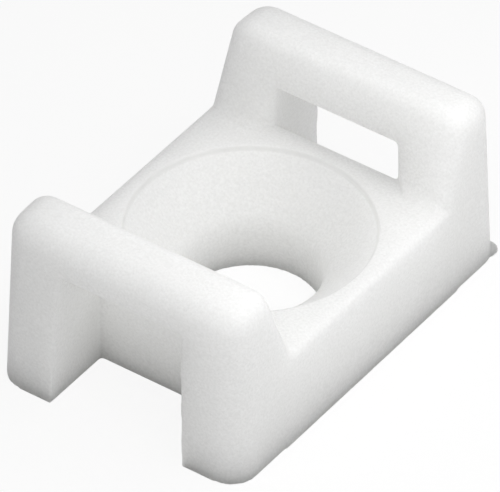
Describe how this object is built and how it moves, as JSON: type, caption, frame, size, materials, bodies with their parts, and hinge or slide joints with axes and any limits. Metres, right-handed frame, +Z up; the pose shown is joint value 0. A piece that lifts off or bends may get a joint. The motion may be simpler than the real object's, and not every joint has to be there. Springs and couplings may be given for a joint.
{
  "type": "cable tie mount",
  "caption": "Saddle-type cable tie mount in natural nylon, with a dished screw hole and a slotted arch at each end for the tie.",
  "frame": {"origin": "where the screw hole's axis meets the flat mounting face", "axes": "+X across the mount, +Y along the cable tie from one arch to the other, +Z up from the mounting face"},
  "size_m": [0.01, 0.0154, 0.0069],
  "materials": {
    "nylon": "natural nylon 6/6, milky and slightly translucent, with a fine matte mould texture"
  },
  "bodies": {
    "root": {"saddle_mount": "nylon"}
  },
  "joints": []
}
